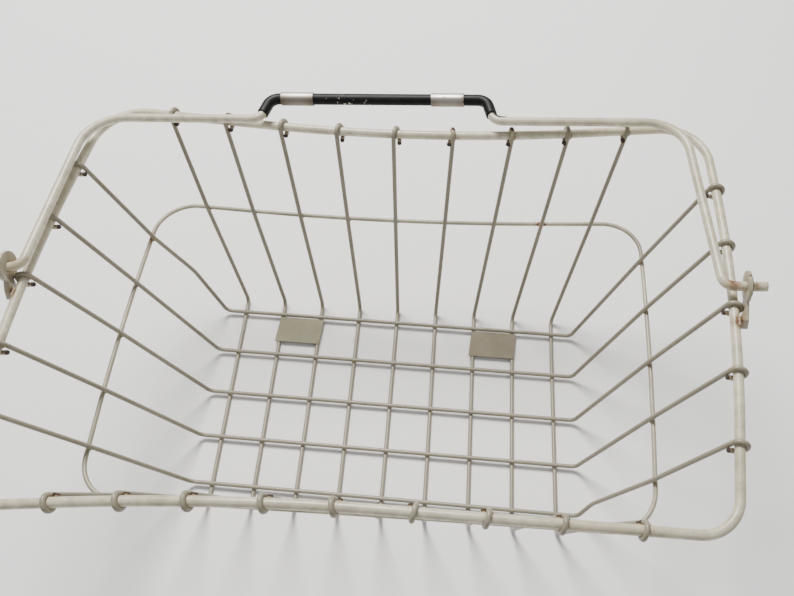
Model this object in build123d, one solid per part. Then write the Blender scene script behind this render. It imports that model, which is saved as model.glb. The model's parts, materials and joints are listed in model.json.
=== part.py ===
from build123d import *
import os
from math import asin, atan2, cos, degrees, radians, sin, tan

# A hand basket of welded wire with a folding bail, in millimetres. +Z is up and the floor of the
# basket stands on z = 0. The origin is on that plane, under the middle of the top rail. +X runs
# to the right along the basket's length, and the bail lies folded back over the rear rail (+Y).

# Stock
WIRE_D = 3.4          # floor, wall and hoop wire
RAIL_D = 6.6          # top rail rod
BAIL_D = 6.4          # bail rod
WELD = 0.3            # how far two welded or wrapped pieces sink into each other

# Floor grid
CROSS_WIRES = 9       # front to back, under the long wires
LONG_WIRES = 5        # left to right, on top of the cross wires
CROSS_PITCH = 35.0
LONG_PITCH = 41.0
FLOOR_HALF_LENGTH = 157.0      # middle of the floor to the bends of the long wires
FLOOR_HALF_WIDTH = 96.6        # middle of the floor to the bends of the cross wires
FLOOR_BEND_R = 7.0
FLOOR_SHIFT = -8.8             # the floor sits a little to the left of the rail
FLOOR_SKEW = radians(2.25)     # each set of floor wires is this far off square

# Top rail
RAIL_REAR_RIGHT = (231.7, 154.9)     # its corners before rounding, bent by hand
RAIL_REAR_LEFT = (-227.4, 157.2)
RAIL_FRONT_LEFT = (-236.3, -160.6)
RAIL_FRONT_RIGHT = (231.1, -154.6)
RAIL_REAR_BEND = (21.6, 132.7)       # and the gentle bend in each side
RAIL_LEFT_BEND = (-241.0, 0)
RAIL_FRONT_BEND = (-72.3, -149.4)
RAIL_RIGHT_BEND = (243.3, 0)
RAIL_HEIGHT = 184.0            # at the middle of its length and width
RAIL_SLOPE = 0.032             # it rises towards the rear
FRONT_RISE = 8.6               # the front run rises to its bend
END_RISE = 6.5                 # and so do both ends
REAR_CORNER_R = 34.0
FRONT_CORNER_R = 24.0
SIDE_BEND_SHARE = 0.6          # how much of its half side a gentle bend takes
CROSS_PITCH_TOP = 43.6         # spacing of the wrapped ends along the rail
LONG_PITCH_TOP = 49.3
FRONT_END_SHIFTS = (0.9, 0, -3, -1.5, -3.7, 1.9, 0.9, 1.2, 3.7)     # each end's own place on it
REAR_END_SHIFTS = (-0.5, -0.5, -0.4, -0.2, 0, 1.7, 2.5, 0.8, 1)
LEFT_END_SHIFTS = (-2.5, -2.8, -2.5, -5.5, -2)
RIGHT_END_SHIFTS = (-4.9, -4.6, -4, -1.5, 0)

# Two wires are knocked out of line. Each has its number, the share of the way up to the hoop and
# how far it is pushed to the rear.
LEFT_DENT = (1, 0.5, 5.5)
RIGHT_DENT = (5, 0.22, 4.0)
DENT_R = 45.0

# Hoop round the walls
HOOP_LEVEL = 0.555             # share of the way from the floor to the rail
HOOP_CORNER_R = 30.0
HOOP_RIM_LENGTH = 233.0        # half the rim that the hoop is bent to suit
HOOP_RIM_WIDTH = 152.9
HOOP_RIM_BOW = 19.5            # how far its rear side leans in
HOOP_RIM_BULGE = 5.5           # how far its ends bulge out

# Wrapped wire ends
WRAP_R = (RAIL_D + WIRE_D) / 2 - WELD
WRAP_BEND_R = 0.97 * WRAP_R    # just under the radius that would leave no straight between bends
WRAP_LEAD = WIRE_D + 0.6       # how far the end moves along the rail as it wraps
STUB = 0.7                     # how far the cut end passes the inside of the wrap
KINK_R = 60.0                  # the slight bend where a wall wire meets the hoop

# Floor plates
PLATE_LENGTH = 40.0
PLATE_DEPTH = 25.0
PLATE_T = 1.0
PLATE_PLACE = 2.5              # cross wire pitches from the middle to each plate
PLATE_GAP = 0.4                # between a plate and the rearmost long wire

# Pivot lugs and hinge line
PIVOT_Y = 1.0
PIVOT_Z = 200.0
PIVOT_STAGGER = 3.0            # the right lug is this far behind the mean, the left lug ahead
LUG_T = 2.0
LUG_HEAD_R = 10.5
LUG_NECK = (-8.5, -2.5)        # from the pivot to where the head runs into the strip
LUG_STRIP_END = -19.5          # the strip's front end
LUG_STRIP_ABOVE = 3.0          # its height above and below the middle of the rail
LUG_STRIP_BELOW = 4.0
LUG_FRONT_BEVEL = (3.0, 5.5)   # the corner cut off its upper front
LUG_FOOT_CORNER = 1.0
LUG_FOOT_START = -13.0         # in front of this the strip is built up with weld to the rail
LUG_FOOT_END = -9.0            # and behind this it clears the rail
LUG_STEP = WIRE_D - WELD       # by the middle long wire's wrapped end, to which it is welded
LUG_REACH = 60.0               # more than the lug measures, for the cuts that shape it
PIVOT_HOLE_D = BAIL_D + 0.8
NOTCH_R = 1.4
NOTCH_AHEAD = 1.0

# Bail, measured along the hinge line and away from it
BAIL_ARM_ROOT = 233.7          # half the width between the arms at the hinge line
BAIL_ARM_TIP = 223.5           # and at the far run
BAIL_REACH = 141.3             # hinge line to the middle of the far run
BAIL_RUN_SKEW = 0.0123         # the far run comes nearer to the hinge line towards the left
BAIL_BEND_R = 8.0
BAIL_CORNER_R = 30.0
BAIL_SLIDE = -2.2              # end play: the bail has slid to the left in its lugs
BAIL_LEAN = -4.2               # the far run is bent this much to the left
HAND_HOLD_RISE = 21.5
HAND_HOLD_TOP = 82.5           # half its length at the top
HAND_HOLD_FOOT = 88.3          # and where it leaves the far run
HAND_HOLD_OFFSET = -5.0
HAND_HOLD_R = 8.5
EAR_X = 252.0                  # middle of the bail to the pinched ears
EAR_LENGTH = 3.5
EAR_SPAN = 10.4
EAR_T = 1.6
PIN_END_X = 262.0

# Grip, ferrules and washers
GRIP_D = 8.6
GRIP_LENGTH = 194.5
FERRULE_D = 10.2
FERRULE_LENGTH = 25.0
FERRULE_LEFT_END = 7.9         # from the left corner of the hand-hold to the left ferrule
FERRULE_RIGHT_END = 17.0       # and from its right corner to the right ferrule
PRESS = 0.05                   # radial interference of the pressed pieces
WASHER_D = 14.0
WASHER_HOLE_D = BAIL_D + 0.3
WASHER_T = 1.0
WASHER_GAP = 0.35              # between a washer and its lug


def blend(a, b, share):
    """The point that lies the given share of the way from a to b."""
    return a + (b - a) * share


def reach_radius(before, corner, after, reach):
    """Fillet radius whose arc starts and ends the given distance from the corner."""
    turn = (corner - before).get_angle(after - corner)
    return reach / tan(radians(turn) / 2)


def round_bar(path, diameter):
    """A round bar along a path."""
    start = Plane(origin=path @ 0, z_dir=path % 0)
    return sweep(start * Circle(diameter / 2), path=path)


def round_ring(path, diameter):
    """A round bar along a closed path, made as two halves that are welded together."""
    return round_bar(path.trim(0, 0.5), diameter) + round_bar(path.trim(0.5, 1), diameter)


def sleeve(path, outside, inside):
    """A round tube along a path."""
    return round_bar(path, outside) - round_bar(path, inside)


# ---- Closed rings: the top rail and the hoop ----

def rail_point(x, y, rise=0.0):
    return Vector(x, y, RAIL_HEIGHT + RAIL_SLOPE * y + rise)


def floor_point(along, across, z):
    """A point of the floor grid, whose two sets of wires are a little off square."""
    x = FLOOR_SHIFT + along * cos(FLOOR_SKEW) - across * sin(FLOOR_SKEW)
    y = across * cos(FLOOR_SKEW) - along * sin(FLOOR_SKEW)
    return Vector(x, y, z)


def ring_path(corners, middles, corner_radii):
    """Four rounded corners, with a long gentle bend in each side."""
    points = []
    for corner, middle in zip(corners, middles):
        points += [corner, middle]
    radii = []
    for k, point in enumerate(points):
        before = points[k - 1]
        after = points[(k + 1) % len(points)]
        if k % 2 == 0:
            radii.append(corner_radii[k // 2])
        else:
            reach = SIDE_BEND_SHARE * min((point - before).length, (after - point).length)
            radii.append(reach_radius(before, point, after, reach))
    return FilletPolyline(*points, radius=radii, close=True)


RAIL_CORNERS = [
    rail_point(*RAIL_REAR_RIGHT),
    rail_point(*RAIL_REAR_LEFT),
    rail_point(*RAIL_FRONT_LEFT),
    rail_point(*RAIL_FRONT_RIGHT),
]
RAIL_BENDS = [
    rail_point(*RAIL_REAR_BEND),
    rail_point(*RAIL_LEFT_BEND, END_RISE),
    rail_point(*RAIL_FRONT_BEND, FRONT_RISE),
    rail_point(*RAIL_RIGHT_BEND, END_RISE),
]
HOOP_RIM_CORNERS = [
    rail_point(HOOP_RIM_LENGTH, HOOP_RIM_WIDTH),
    rail_point(-HOOP_RIM_LENGTH, HOOP_RIM_WIDTH),
    rail_point(-HOOP_RIM_LENGTH, -HOOP_RIM_WIDTH),
    rail_point(HOOP_RIM_LENGTH, -HOOP_RIM_WIDTH),
]
HOOP_RIM_MIDDLES = [
    rail_point(0, HOOP_RIM_WIDTH - HOOP_RIM_BOW),
    rail_point(-HOOP_RIM_LENGTH - HOOP_RIM_BULGE, 0, END_RISE),
    rail_point(0, -HOOP_RIM_WIDTH, FRONT_RISE),
    rail_point(HOOP_RIM_LENGTH + HOOP_RIM_BULGE, 0, END_RISE),
]
FLOOR_CORNERS = [
    floor_point(FLOOR_HALF_LENGTH, FLOOR_HALF_WIDTH, WIRE_D),
    floor_point(-FLOOR_HALF_LENGTH, FLOOR_HALF_WIDTH, WIRE_D),
    floor_point(-FLOOR_HALF_LENGTH, -FLOOR_HALF_WIDTH, WIRE_D),
    floor_point(FLOOR_HALF_LENGTH, -FLOOR_HALF_WIDTH, WIRE_D),
]
FLOOR_MIDDLES = [
    floor_point(0, FLOOR_HALF_WIDTH, WIRE_D),
    floor_point(-FLOOR_HALF_LENGTH, 0, WIRE_D),
    floor_point(0, -FLOOR_HALF_WIDTH, WIRE_D),
    floor_point(FLOOR_HALF_LENGTH, 0, WIRE_D),
]
HOOP_CORNERS = [blend(a, b, HOOP_LEVEL) for a, b in zip(FLOOR_CORNERS, HOOP_RIM_CORNERS)]
HOOP_MIDDLES = [blend(a, b, HOOP_LEVEL) for a, b in zip(FLOOR_MIDDLES, HOOP_RIM_MIDDLES)]

rail_radii = [REAR_CORNER_R, REAR_CORNER_R, FRONT_CORNER_R, FRONT_CORNER_R]
rail_path = ring_path(RAIL_CORNERS, RAIL_BENDS, rail_radii)
hoop_path = ring_path(HOOP_CORNERS, HOOP_MIDDLES, [HOOP_CORNER_R] * 4)


def crossing(path, axis, value, outward):
    """Where a ring crosses the plane at this value of an axis, on the outward side.

    Gives the point and the ring's direction there.
    """
    steps = 400
    previous = path @ 0
    for k in range(steps):
        point = path @ ((k + 1) / steps)
        passes = (previous.dot(axis) - value) * (point.dot(axis) - value) <= 0
        if passes and point.dot(outward) > 0:
            low, high = k / steps, (k + 1) / steps
            rising = point.dot(axis) > previous.dot(axis)
            for _ in range(30):
                middle = (low + high) / 2
                if ((path @ middle).dot(axis) < value) == rising:
                    low = middle
                else:
                    high = middle
            return path @ low, path % low
        previous = point
    raise ValueError("the ring does not cross this plane")


# ---- Wall wires with their wrapped ends ----

def wall_run(foot, rail_value, hoop_value, axis, outward, lead):
    """Corner points and bend radii of a wall wire from its floor bend to its cut end.

    The wire rises from its bend, touches the inside of the hoop, meets the inside of the rail,
    wraps over its top and back under it, and moves along the rail by the lead as it wraps.
    """
    rail_centre, along = crossing(rail_path, axis, rail_value, outward)
    if along.dot(lead) < 0:
        along = along * -1
    hoop_centre, hoop_along = crossing(hoop_path, axis, hoop_value, outward)
    wall_normal = hoop_along.cross(rail_centre - foot).normalized()
    if wall_normal.dot(outward) < 0:
        wall_normal = wall_normal * -1
    at_hoop = hoop_centre - wall_normal * (WIRE_D - WELD)
    rise = rail_centre - at_hoop
    rise = rise - along * rise.dot(along)
    up = rise.normalized()
    out = along.cross(up).normalized()
    if out.dot(outward) < 0:
        out = out * -1
    tilt = asin(WRAP_R / rise.length)
    up, out = up * cos(tilt) - out * sin(tilt), out * cos(tilt) + up * sin(tilt)
    step = along * (WRAP_LEAD / 3)
    points = [
        foot,
        at_hoop,
        rail_centre - out * WRAP_R + up * WRAP_R,
        rail_centre + out * WRAP_R + up * WRAP_R + step,
        rail_centre + out * WRAP_R - up * WRAP_R + step * 2,
        rail_centre - out * (WRAP_R + STUB) - up * WRAP_R + step * 3,
    ]
    return points, [FLOOR_BEND_R, KINK_R, WRAP_BEND_R, WRAP_BEND_R, WRAP_BEND_R]


def formed_wire(one_end, other_end):
    """One wire from cut end to cut end, made of two wall runs joined by a floor run."""
    points = one_end[0][::-1] + other_end[0]
    radii = one_end[1][::-1] + other_end[1]
    return round_bar(FilletPolyline(*points, radius=radii), WIRE_D)


def cross_wire(number):
    """A wire that runs front to back across the floor, counted from the left."""
    place = number - (CROSS_WIRES + 1) / 2
    x_axis = Vector(1, 0, 0)
    rear = Vector(0, 1, 0)
    lead = x_axis if place < 1 else x_axis * -1
    runs = []
    for outward, shifts in ((rear * -1, FRONT_END_SHIFTS), (rear, REAR_END_SHIFTS)):
        side = outward.Y * FLOOR_HALF_WIDTH
        foot = floor_point(place * CROSS_PITCH, side, WIRE_D / 2)
        at_rail = place * CROSS_PITCH_TOP + shifts[number - 1]
        at_hoop = foot.X + (at_rail - foot.X) * HOOP_LEVEL
        runs.append(wall_run(foot, at_rail, at_hoop, x_axis, outward, lead))
    return formed_wire(runs[0], runs[1])


def long_wire(number):
    """A wire that runs left to right on top of the cross wires, counted from the rear."""
    place = (LONG_WIRES + 1) / 2 - number
    y_axis = Vector(0, 1, 0)
    right = Vector(1, 0, 0)
    height = WIRE_D * 1.5 - WELD
    runs = []
    left_end = (right * -1, LEFT_END_SHIFTS, LEFT_DENT)
    right_end = (right, RIGHT_END_SHIFTS, RIGHT_DENT)
    for outward, shifts, dent in (left_end, right_end):
        side = outward.X * FLOOR_HALF_LENGTH
        foot = floor_point(side, place * LONG_PITCH, height)
        at_rail = place * LONG_PITCH_TOP + shifts[number - 1]
        at_hoop = foot.Y + (at_rail - foot.Y) * HOOP_LEVEL
        points, radii = wall_run(foot, at_rail, at_hoop, y_axis, outward, y_axis * -1)
        if number == dent[0]:
            points.insert(1, blend(points[0], points[1], dent[1]) + y_axis * dent[2])
            radii.insert(1, DENT_R)
        runs.append((points, radii))
    return formed_wire(runs[0], runs[1])


def floor_plate(place):
    """A small flat plate on two neighbouring cross wires, in front of the rearmost long wire."""
    rear_wire = (LONG_WIRES - 1) / 2 * LONG_PITCH
    across = rear_wire - WIRE_D / 2 - PLATE_GAP - PLATE_DEPTH / 2
    centre = floor_point(place * CROSS_PITCH, across, WIRE_D - WELD / 2 + PLATE_T / 2)
    turn = Rotation(0, 0, -degrees(FLOOR_SKEW))
    return Pos(centre) * turn * Box(PLATE_LENGTH, PLATE_DEPTH, PLATE_T)


# ---- Hinge line, lugs and bail ----

HINGE_ANGLE = atan2(PIVOT_STAGGER, BAIL_ARM_ROOT)
HINGE = Vector(cos(HINGE_ANGLE), sin(HINGE_ANGLE), 0)
HINGE_MIDDLE = Vector(0, PIVOT_Y, PIVOT_Z)
HINGE_PLANE = Plane(origin=HINGE_MIDDLE, x_dir=HINGE, z_dir=(0, 0, 1))


def hinge_bar(start, end, diameter):
    """A plain round bar on the hinge line between two places along it."""
    section = Plane(origin=HINGE_MIDDLE + HINGE * start, z_dir=HINGE)
    return extrude(section * Circle(diameter / 2), end - start)


def rail_side(side):
    """The middle of the rail at the end on this side, in line with the basket's middle."""
    return crossing(rail_path, Vector(0, 1, 0), 0, Vector(side, 0, 0))[0]


def lug_head_x(side):
    """Distance from the basket's middle to the inner face of a lug's head."""
    return abs(rail_side(side).X) + RAIL_D / 2 - WELD + LUG_STEP


def pivot_lug(side):
    """A stamped lug: a strip with a round head, whose front end is built up to meet the rail.

    The side is 1 at the right end and -1 at the left.
    """
    pivot_y = PIVOT_Y + side * PIVOT_STAGGER
    rail_z = rail_side(side).Z
    high = rail_z + LUG_STRIP_ABOVE
    low = rail_z - LUG_STRIP_BELOW
    outline = Polyline(
        (pivot_y, PIVOT_Z),
        (pivot_y + LUG_NECK[0], PIVOT_Z + LUG_NECK[1]),
        (LUG_STRIP_END + LUG_FRONT_BEVEL[0], high),
        (LUG_STRIP_END, high - LUG_FRONT_BEVEL[1]),
        (LUG_STRIP_END, low + LUG_FOOT_CORNER),
        (LUG_STRIP_END + LUG_FOOT_CORNER, low),
        (pivot_y - LUG_HEAD_R / 2, low),
        close=True,
    )
    face = make_face(outline) + Pos(pivot_y, PIVOT_Z) * Circle(LUG_HEAD_R)
    if side > 0:
        face -= Pos(pivot_y + NOTCH_AHEAD, PIVOT_Z + LUG_HEAD_R) * Circle(NOTCH_R)
    head_x = lug_head_x(side)
    strip_x = head_x - LUG_STEP
    from_side = Plane(origin=(0, 0, 0), x_dir=(0, 1, 0), z_dir=(1, 0, 0)) * face
    blank = extrude(from_side, head_x + 2 * LUG_T)
    band = Polyline(
        (strip_x, -LUG_REACH),
        (strip_x, LUG_FOOT_START),
        (head_x, LUG_FOOT_END),
        (head_x, LUG_REACH),
        (head_x + LUG_T, LUG_REACH),
        (head_x + LUG_T, -LUG_REACH),
        close=True,
    )
    formed = extrude(make_face(band), 2 * PIVOT_Z) & blank
    if side < 0:
        formed = mirror(formed, about=Plane.YZ)
    hole = hinge_bar(side * (head_x - LUG_REACH), side * (head_x + LUG_REACH), PIVOT_HOLE_D)
    return formed - hole


def bail_place(along, away):
    """A corner point of the bail, with its end play, lean and skew, in the hinge plane."""
    share = away / BAIL_REACH
    lean = BAIL_LEAN * share
    skew = BAIL_RUN_SKEW * along * share
    return HINGE_PLANE.from_local_coords(Vector(along + BAIL_SLIDE + lean, away + skew, 0))


hold_reach = BAIL_REACH + HAND_HOLD_RISE
bail_corners = [
    bail_place(-PIN_END_X, 0),
    bail_place(-BAIL_ARM_ROOT, 0),
    bail_place(-BAIL_ARM_TIP, BAIL_REACH),
    bail_place(HAND_HOLD_OFFSET - HAND_HOLD_FOOT, BAIL_REACH),
    bail_place(HAND_HOLD_OFFSET - HAND_HOLD_TOP, hold_reach),
    bail_place(HAND_HOLD_OFFSET + HAND_HOLD_TOP, hold_reach),
    bail_place(HAND_HOLD_OFFSET + HAND_HOLD_FOOT, BAIL_REACH),
    bail_place(BAIL_ARM_TIP, BAIL_REACH),
    bail_place(BAIL_ARM_ROOT, 0),
    bail_place(PIN_END_X, 0),
]
bail_radii = [BAIL_BEND_R, BAIL_CORNER_R] + [HAND_HOLD_R] * 4 + [BAIL_CORNER_R, BAIL_BEND_R]
bail_path = FilletPolyline(*bail_corners, radius=bail_radii)


def pinched_ears(side):
    """Two small fins that the rod's end is pinched into, widest next to the washer."""
    start = side * EAR_X + BAIL_SLIDE
    fin = make_face(
        Polyline(
            (start, -EAR_SPAN / 2),
            (start, EAR_SPAN / 2),
            (start + side * EAR_LENGTH, BAIL_D / 2),
            (start + side * EAR_LENGTH, -BAIL_D / 2),
            close=True,
        )
    )
    upright = Plane(origin=HINGE_MIDDLE, x_dir=HINGE, z_dir=HINGE.cross(Vector(0, 0, 1)))
    return extrude(upright * fin, EAR_T / 2, both=True)


def bail_rod():
    return round_bar(bail_path, BAIL_D) + pinched_ears(-1) + pinched_ears(1)


def grip_path():
    """The stretch of the bail's own path that the grip covers."""
    middle = bail_path.param_at_point(bail_place(HAND_HOLD_OFFSET, hold_reach))
    share = GRIP_LENGTH / 2 / bail_path.length
    return bail_path.trim(middle - share, middle + share)


def hold_bar(start, end, outside, inside):
    """A straight tube on the hand-hold, between two places along it."""
    left = bail_place(HAND_HOLD_OFFSET + start, hold_reach)
    right = bail_place(HAND_HOLD_OFFSET + end, hold_reach)
    section = Plane(origin=left, z_dir=right - left)
    ring = Circle(outside / 2) - Circle(inside / 2)
    return extrude(section * ring, (right - left).length)


def retaining_washer(side):
    """A washer between a lug and the ears, close to the lug."""
    near = lug_head_x(side) + LUG_T + WASHER_GAP
    start = near if side > 0 else -near - WASHER_T
    hole = hinge_bar(start - WASHER_T, start + 2 * WASHER_T, WASHER_HOLE_D)
    return hinge_bar(start, start + WASHER_T, WASHER_D) - hole


# ---- Write every piece to its own file ----

pieces = {
    "top_rail": round_ring(rail_path, RAIL_D),
    "hoop": round_ring(hoop_path, WIRE_D),
    "floor_plate_left": floor_plate(-PLATE_PLACE),
    "floor_plate_right": floor_plate(PLATE_PLACE),
    "pivot_lug_left": pivot_lug(-1),
    "pivot_lug_right": pivot_lug(1),
    "bail_rod": bail_rod(),
    "grip_tube": sleeve(grip_path(), GRIP_D, BAIL_D - 2 * PRESS),
    "retaining_washer_left": retaining_washer(-1),
    "retaining_washer_right": retaining_washer(1),
}
left_start = FERRULE_LEFT_END - HAND_HOLD_TOP
right_end = HAND_HOLD_TOP - FERRULE_RIGHT_END
ferrule_bore = GRIP_D - 2 * PRESS
pieces["ferrule_left"] = hold_bar(left_start, left_start + FERRULE_LENGTH, FERRULE_D, ferrule_bore)
pieces["ferrule_right"] = hold_bar(right_end - FERRULE_LENGTH, right_end, FERRULE_D, ferrule_bore)
for number in range(1, CROSS_WIRES + 1):
    pieces[f"cross_wire_{number}"] = cross_wire(number)
for number in range(1, LONG_WIRES + 1):
    pieces[f"long_wire_{number}"] = long_wire(number)

os.makedirs("parts", exist_ok=True)
for name, piece in pieces.items():
    export_step(piece, f"parts/{name}.step")
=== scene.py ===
import json
import bmesh
import bpy
import numpy as np
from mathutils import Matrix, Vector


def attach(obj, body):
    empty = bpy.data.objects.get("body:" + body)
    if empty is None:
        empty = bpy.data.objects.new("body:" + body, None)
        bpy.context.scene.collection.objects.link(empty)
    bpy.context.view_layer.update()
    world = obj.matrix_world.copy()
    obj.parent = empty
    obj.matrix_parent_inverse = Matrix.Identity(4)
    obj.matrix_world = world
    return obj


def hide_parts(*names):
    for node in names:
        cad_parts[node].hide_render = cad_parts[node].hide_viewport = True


# A welded wire shopping basket with a folding bail, finished in old cream enamel. Metres, +Z up, in
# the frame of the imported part. Wires, rods and sleeves are surfaces swept along the part's own lines,
# and weld beads lie where they touch. The lugs are the part's shape with rounded edges. The floor
# plates and the washers are the part's own.

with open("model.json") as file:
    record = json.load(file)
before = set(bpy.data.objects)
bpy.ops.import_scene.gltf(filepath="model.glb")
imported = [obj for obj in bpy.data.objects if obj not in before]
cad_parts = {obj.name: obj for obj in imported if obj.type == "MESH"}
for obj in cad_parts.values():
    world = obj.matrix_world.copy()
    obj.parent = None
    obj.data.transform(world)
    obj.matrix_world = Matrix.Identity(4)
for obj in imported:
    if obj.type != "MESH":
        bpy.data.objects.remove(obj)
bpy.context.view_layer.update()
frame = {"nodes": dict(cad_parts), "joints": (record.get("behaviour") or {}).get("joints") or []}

mm = 0.001

# Stock
WIRE_R = 1.7 * mm
RAIL_R = 3.3 * mm
BAIL_R = 3.2 * mm
WELD = 0.3 * mm            # how far two welded pieces sink into each other

# Floor grid
CROSS_WIRES = 9
LONG_WIRES = 5
CROSS_PITCH = 35 * mm
LONG_PITCH = 41 * mm
FLOOR_HALF_LENGTH = 157 * mm
FLOOR_HALF_WIDTH = 96.6 * mm
FLOOR_BEND_R = 7 * mm
FLOOR_SHIFT = -8.8 * mm    # the floor sits a little left of the rail's middle
FLOOR_SKEW = np.radians(2.25)

# Top rail
RAIL_CORNERS = np.array([[231.7, 154.9], [-227.4, 157.2], [-236.3, -160.6], [231.1, -154.6]]) * mm
RAIL_BENDS = np.array([[21.6, 132.7], [-241, 0], [-72.3, -149.4], [243.3, 0]]) * mm
RAIL_HEIGHT = 184 * mm
RAIL_SLOPE = 0.032         # rise towards the rear
FRONT_RISE = 8.6 * mm      # how far the middle of the front, and of each end, stands over its corners
END_RISE = 6.5 * mm
REAR_CORNER_R = 34 * mm
FRONT_CORNER_R = 24 * mm
SIDE_BEND_SHARE = 0.6      # how much of its half side a gentle bend takes
CROSS_PITCH_TOP = 43.6 * mm
LONG_PITCH_TOP = 49.3 * mm
# How far each wrapped end has slipped along the rail from its even place
FRONT_END_SHIFTS = np.array([0.9, 0, -3, -1.5, -3.7, 1.9, 0.9, 1.2, 3.7]) * mm
REAR_END_SHIFTS = np.array([-0.5, -0.5, -0.4, -0.2, 0, 1.7, 2.5, 0.8, 1]) * mm
LEFT_END_SHIFTS = np.array([-2.5, -2.8, -2.5, -5.5, -2]) * mm
RIGHT_END_SHIFTS = np.array([-4.9, -4.6, -4, -1.5, 0]) * mm

# Two wires are knocked out of line: number, share of the way up to the hoop, push to the rear
LEFT_DENT = (1, 0.5, 5.5 * mm)
RIGHT_DENT = (5, 0.22, 4 * mm)
DENT_R = 45 * mm

# Hoop and wrapped ends. The hoop is a level between the floor's outline and an even rim.
HOOP_LEVEL = 0.555
HOOP_CORNER_R = 30 * mm
HOOP_RIM_LENGTH = 233 * mm
HOOP_RIM_WIDTH = 152.9 * mm
HOOP_RIM_BOW = 19.5 * mm   # how far its rear side bows in
HOOP_RIM_BULGE = 5.5 * mm  # how far its two ends swell out
WRAP_R = RAIL_R + WIRE_R - WELD
WRAP_BEND_R = 0.97 * WRAP_R
WRAP_LEAD = 4 * mm         # how far a wrap moves along the rail
STUB = 0.7 * mm            # what a cut end stands out past the wrap
KINK_R = 60 * mm           # the slow bend where a wire crosses the hoop

# Bail
BAIL_ARM_ROOT = 233.7 * mm
BAIL_ARM_TIP = 223.5 * mm
BAIL_REACH = 141.3 * mm
BAIL_RUN_SKEW = 0.0123
BAIL_BEND_R = 8 * mm
BAIL_CORNER_R = 30 * mm
BAIL_SLIDE = -2.2 * mm     # its end play, taken up to the left
BAIL_LEAN = -4.2 * mm      # how far its long side leans left of its pins
HAND_HOLD_RISE = 21.5 * mm
HAND_HOLD_TOP = 82.5 * mm
HAND_HOLD_FOOT = 88.3 * mm
HAND_HOLD_OFFSET = -5 * mm
HAND_HOLD_R = 8.5 * mm
EAR_X = 252 * mm
EAR_LENGTH = 3.5 * mm
EAR_REACH = 5.2 * mm       # from the rod's middle to an ear's tip
EAR_HALF_T = 0.8 * mm
EAR_RISE = 0.3 * mm        # how sharply an ear rises at its washer
PIN_END_X = 262 * mm
LUG_X = 246 * mm           # from the middle to where a pin goes through its lug

# Grip and ferrules
GRIP_R = 4.3 * mm
GRIP_LENGTH = 194.5 * mm
FERRULE_R = 5.1 * mm
FERRULE_LENGTH = 25 * mm
FERRULE_LEFT_END = 7.9 * mm
FERRULE_RIGHT_END = 17 * mm
SLEEVE_PRESS = 0.02 * mm   # how far a sleeve's bore sinks into what it grips
SLIVER_HALF_WIDTH = (1.2 * mm, 0.3 * mm)      # at its root and at its tip
SLIVER_CLEARANCE = 0.1 * mm
SLIVER_LEAN = 0.6          # how much it leans outward from straight above the rod

# Fineness of the surfaces: stations along a line, sides round it, and the rounding of cut ends
RING_STEP = 2 * mm
WIRE_STEP = 2.5 * mm
BAIL_STEP = 0.6 * mm
SAME_PLACE = 1e-7
WIRE_SIDES = 16
RAIL_SIDES = 28
BAIL_SIDES = 32
FERRULE_SIDES = 40
SLIVER_SIDES = 10
SLIVER_STATIONS = (8, 24)  # stations of the rod under it, before and past the grip's end
FERRULE_STATIONS = 21
WIRE_END_BEVEL = 0.35 * mm
PIN_END_BEVEL = 0.7 * mm
GRIP_LIP = 0.6 * mm
FERRULE_LIP = 0.35 * mm
LUG_EDGE = 0.45 * mm
LUG_MERGE = 0.01 * mm
LUG_SHARP = np.radians(35)       # edges that turn more than this are rounded
LUG_SMOOTH = np.radians(50)      # and edges that turn less than this are shaded smooth

# Half sizes of weld beads: long, wide and deep
FLOOR_BEAD = (2.3 * mm, 2.3 * mm, 1.0 * mm)
HOOP_BEAD = (2.4 * mm, 2.4 * mm, 1.0 * mm)
RAIL_BEAD = (2.4 * mm, 3.0 * mm, 1.2 * mm)
LUG_BEAD = (1.7 * mm, 1.3 * mm, 1.1 * mm)
BEAD_SPREAD = (0.85, 1.1)        # how much beads differ in size
LUG_BEAD_PLACES = np.array([-18.5, -17, -15.5, -14]) * mm     # along the rail
LUG_BEAD_OUT = RAIL_R - 1.1 * mm
LUG_BEAD_UP = 2.3 * mm

# Wear: its strength at a place, and how far it reaches. A range is a different strength each time.
WELD_WEAR = (0.1, 0.5)
RAIL_WEAR = (0.1, 0.45)
BEAD_WEAR = (0.1, 0.55)
CROSSING_WEAR = (0.0, 0.4)
LUG_WELD_WEAR = 0.7
WORN_TOP_WEAR = 0.5
RUSTY_HOOP_WEAR = 0.9
CUT_END_WEAR = (8.0, 1.25 * mm)
HOOK_TOP_WEAR = (1.6, 2.6 * mm)
RUSTY_WELD_WEAR = (0.85, 4 * mm)
HOOP_WELD_REACH = 4 * mm
RAIL_WELD_REACH = 5 * mm
CROSSING_REACH = 3.5 * mm
RING_REACH = 5 * mm
BEAD_REACH = 4 * mm
FERRULE_END_WEAR = (0.7, 5.3 * mm)
PAINTED_SHADE_AXIS = np.array([0, 0.45, 0.9])      # faces turned away from this way get painted shade and a little settled grime
WORN_REAR_HOOKS = ("cross_wire_2", "cross_wire_6", "cross_wire_7")
RUSTY_HOOP_WELDS = {"long_wire_1": 0, "cross_wire_8": 1}      # wire, and which of its two ends

X_AXIS, Y_AXIS, Z_AXIS = np.eye(3)
joint = frame["joints"][0]
HINGE = np.array(joint["axis"], float)
HINGE /= np.linalg.norm(HINGE)
HINGE_MIDDLE = np.array(joint["pos_m"], float)
AWAY = np.cross(Z_AXIS, HINGE)
chance = np.random.default_rng(7)


# ---- Lines ----

def unit(v):
    """A vector, or each row of vectors, made one long."""
    return v / np.linalg.norm(v, axis=-1, keepdims=True)


def mix(a, b, share):
    """The place a share of the way from a to b."""
    return a + (b - a) * share


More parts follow.
